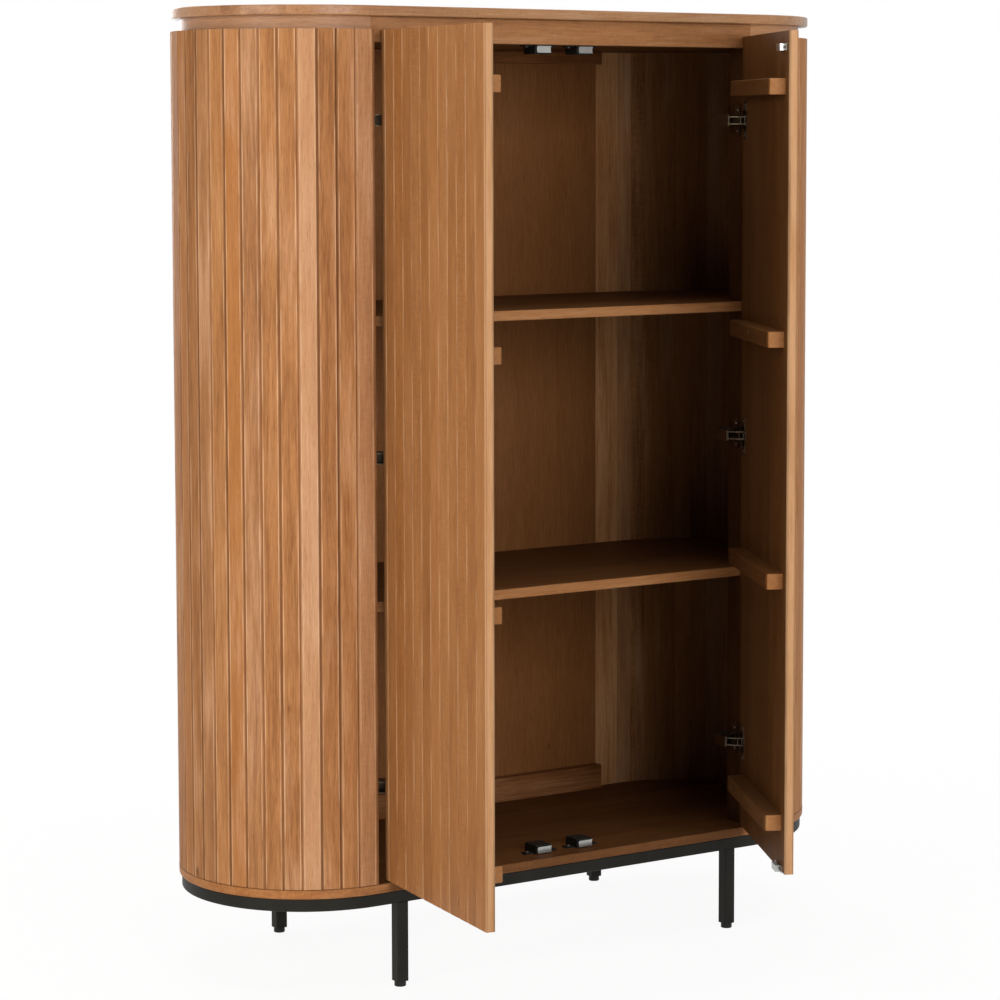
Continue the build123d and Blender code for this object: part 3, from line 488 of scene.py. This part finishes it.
# Colour, roughness, metallic, grain per metre along X, Y and Z, its strength, spread of colour and shine
PLAIN = {
    "black_steel": ((0.016, 0.015, 0.012), 0.50, 0.0, (900, 900, 900), 0.12, 0.25, 0.12),
    "black_plastic": ((0.012, 0.012, 0.011), 0.5, 0.0, (1800, 1800, 1800), 0.2, 0.25, 0.2),
    "hinge_steel": ((0.13, 0.095, 0.065), 0.40, 1.0, (2500, 300, 2500), 0.10, 0.25),
    "screw_steel": ((0.13, 0.10, 0.075), 0.45, 1.0, (1800, 1800, 1800), 0.12, 0.25),
    "catch_steel": ((0.46, 0.46, 0.44), 0.30, 1.0, (300, 2500, 2500), 0.08, 0.08),
}
surfaces = {slot: plain(slot, *values) for slot, values in PLAIN.items()}
for row in frame["record"]["subparts"]:
    if row["material_slot"] in surfaces:
        dress(surfaces[row["material_slot"]], row["material_slot"], row["node"])


# Floor, lights and camera
def make_floor():
    """Pale floor that keeps a soft shadow near the cabinet and runs out into the white world."""
    mesh = bpy.data.meshes.new("floor")
    far = 40.0
    mesh.from_pydata([(-far, -far, 0), (far, -far, 0), (far, far, 0), (-far, far, 0)], [], [(0, 1, 2, 3)])
    floor = bpy.data.objects.new("floor", mesh)
    bpy.context.scene.collection.objects.link(floor)
    material = bpy.data.materials.new("floor")
    g = blank(material)
    away = g.length(g.node("TexCoord").outputs["Object"])
    paper = g.node("BsdfDiffuse", Color=(0.92, 0.92, 0.91, 1.0))
    white = g.node("Emission", Color=(*WHITE, 1.0), Strength=1.0)
    blend = g.node("MixShader", Fac=g.times(g.seen(), g.remap(away, 0.8, 2.0, 0.93, 1.0)))
    g.tree.links.new(paper.outputs[0], blend.inputs[1])
    g.tree.links.new(white.outputs[0], blend.inputs[2])
    g.show("Material", blend.outputs[0])
    floor.data.materials.append(material)


def make_world():
    """White to look at, and a weak even light."""
    world = bpy.data.worlds.new("studio")
    bpy.context.scene.world = world
    g = blank(world)
    strength = g.math("ADD", AMBIENT, g.times(g.seen(), 1.0 - AMBIENT))
    light = g.node("Background", Color=(*WHITE, 1.0), Strength=strength)
    g.show("World", light.outputs[0])


def lamp(name, place, power, color=WHITE):
    """Softbox that faces the cabinet's middle."""
    data = bpy.data.lights.new(name, "AREA")
    data.shape = "RECTANGLE"
    data.size, data.size_y = SOFTBOX
    data.energy = power
    data.color = color
    made = bpy.data.objects.new(name, data)
    bpy.context.scene.collection.objects.link(made)
    made.location = place
    made.rotation_euler = (Vector(MIDDLE) - Vector(place)).to_track_quat("-Z", "Y").to_euler()
    made.visible_camera = False


def ceiling(strength, spread):
    """Even soft light from straight above."""
    data = bpy.data.lights.new("ceiling", "SUN")
    data.energy = strength
    data.angle = math.radians(spread)
    made = bpy.data.objects.new("ceiling", data)
    bpy.context.scene.collection.objects.link(made)


make_floor()
make_world()
lamp("left", (-4.20, -1.70, 1.90), 94.0, (1.0, 0.93, 0.83))
lamp("front", (-0.59, -4.70, 1.90), 108.0)
lamp("back", (0.60, 4.60, 1.90), 95.0)
ceiling(1.9, 50.0)

# The camera stands where the photograph was taken from. Focal length and aim are in its pixels
PHOTO = 1000
FOCAL, AIM_X, AIM_Y = 3087.1, 537.45, 400.0
camera_data = bpy.data.cameras.new("camera")
camera_data.sensor_width = 36.0
camera_data.lens = camera_data.sensor_width * FOCAL / PHOTO
camera_data.shift_x = (PHOTO / 2 - AIM_X) / PHOTO
camera_data.shift_y = (AIM_Y - PHOTO / 2) / PHOTO
camera_data.clip_end = 100.0
camera = bpy.data.objects.new("camera", camera_data)
bpy.context.scene.collection.objects.link(camera)
camera.location = (-2.62425, -4.05928, 1.27373)
camera.rotation_euler = (math.radians(90 - 5.038), math.radians(0.058), math.radians(-33.541))
bpy.context.scene.camera = camera
bpy.context.scene.view_settings.view_transform = "Standard"
